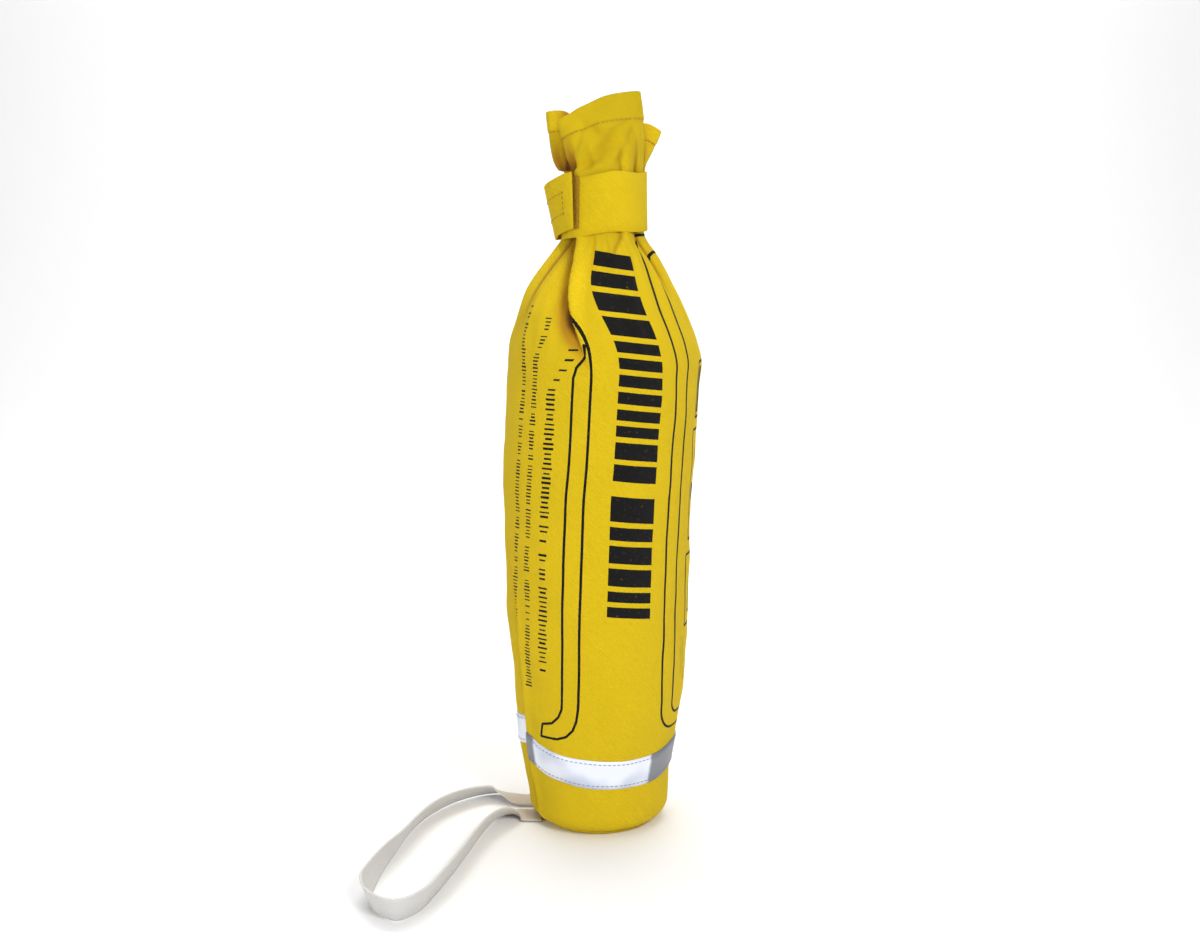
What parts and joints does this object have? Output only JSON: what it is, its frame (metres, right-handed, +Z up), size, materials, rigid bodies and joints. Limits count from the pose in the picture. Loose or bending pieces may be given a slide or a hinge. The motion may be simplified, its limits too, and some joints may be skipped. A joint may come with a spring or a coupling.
{
  "type": "throw rope bag",
  "caption": "Tapered canvas bag that holds a floating throwing line, gathered and strapped shut at its neck, with a webbing hand loop at its base.",
  "frame": {"origin": "middle of the round base, on the surface that the bag stands on", "axes": "+Z up along the bag to its gathered mouth, -Y towards the printed front, +X to the right of it"},
  "size_m": [0.2094, 0.229, 0.48],
  "materials": {
    "canvas": "matt yellow coated canvas, fine twill",
    "binding": "yellow seam tape and looped pile",
    "thread": "yellow polyester thread",
    "pale_thread": "pale blue polyester thread",
    "reflective": "silver retroreflective tape",
    "webbing": "white polyester webbing",
    "hook": "black moulded hooks",
    "foam": "closed-cell foam",
    "line": "orange floating polypropylene line"
  },
  "bodies": {
    "bag": {"side_panel": "canvas", "gathered_mouth": "canvas", "side_seam_binding": "binding", "base_panel": "canvas", "base_float": "foam", "anchor_webbing": "webbing", "line_anchor_knot": "line", "line_fixed_end": "line", "line_coil": "line", "hand_loop_knot": "line", "line_hand_loop": "line", "line_throw_end": "line", "neck_strap": "canvas", "loop_patch": "binding", "strap_anchor_stitching": "thread", "reflective_tape": "reflective", "tape_stitching_upper": "pale_thread", "tape_stitching_lower": "pale_thread", "mouth_hem_stitching": "thread", "handle_root_rear": "webbing", "handle_root_front": "webbing"},
    "strap_tab": {"strap_tab": "canvas", "hook_patch": "hook", "tab_stitching": "thread"},
    "hand_loop": {"handle_loop": "webbing"}
  },
  "joints": [
    {"name": "tab_peel", "type": "hinge", "parent": "bag", "child": "strap_tab", "pos_m": [-0.0277, 0.0107, 0.412], "axis": [0, 0, -1], "range_deg": [0, 120]},
    {"name": "handle_swing", "type": "hinge", "parent": "bag", "child": "hand_loop", "pos_m": [-0.0504, 0.0037, 0.00105], "axis": [0, 1, 0], "range_deg": [-80, 65]}
  ]
}
